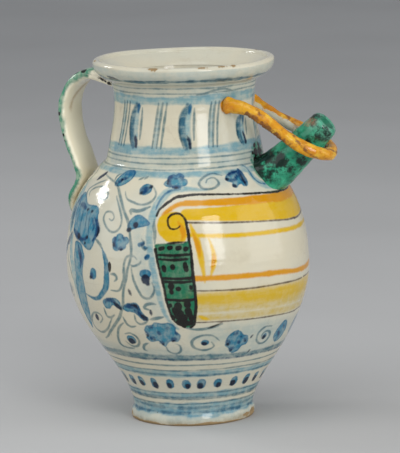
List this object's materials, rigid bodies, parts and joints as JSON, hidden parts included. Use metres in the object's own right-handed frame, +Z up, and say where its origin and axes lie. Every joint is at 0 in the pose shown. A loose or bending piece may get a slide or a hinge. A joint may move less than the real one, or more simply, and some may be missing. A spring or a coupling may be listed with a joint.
{
  "type": "spouted jug",
  "caption": "Ovoid glazed earthenware jug with a wide neck, strap handle and a tube spout held to the neck by a twisted clay loop, for storing and pouring syrup.",
  "frame": {"origin": "centre of the flat face that the jug stands on, on the axis that the body was thrown about", "axes": "+Z up along the body's axis, +X to the spout, -X to the handle"},
  "size_m": [0.1921, 0.162, 0.24],
  "materials": {
    "tin_glaze": "glossy cream tin glaze painted in cobalt blue, yellow, orange, green and manganese black",
    "green_glaze": "glossy copper green, mottled, with dark dabs",
    "ochre_glaze": "glossy yellow ochre, browner in the grooves"
  },
  "bodies": {
    "root": {"foot": "tin_glaze", "lower_body": "tin_glaze", "upper_body": "tin_glaze", "neck": "tin_glaze", "rim": "tin_glaze", "handle": "green_glaze", "spout": "green_glaze", "spout_tie": "ochre_glaze", "tie_front_pad": "ochre_glaze", "tie_rear_pad": "ochre_glaze"}
  },
  "joints": []
}
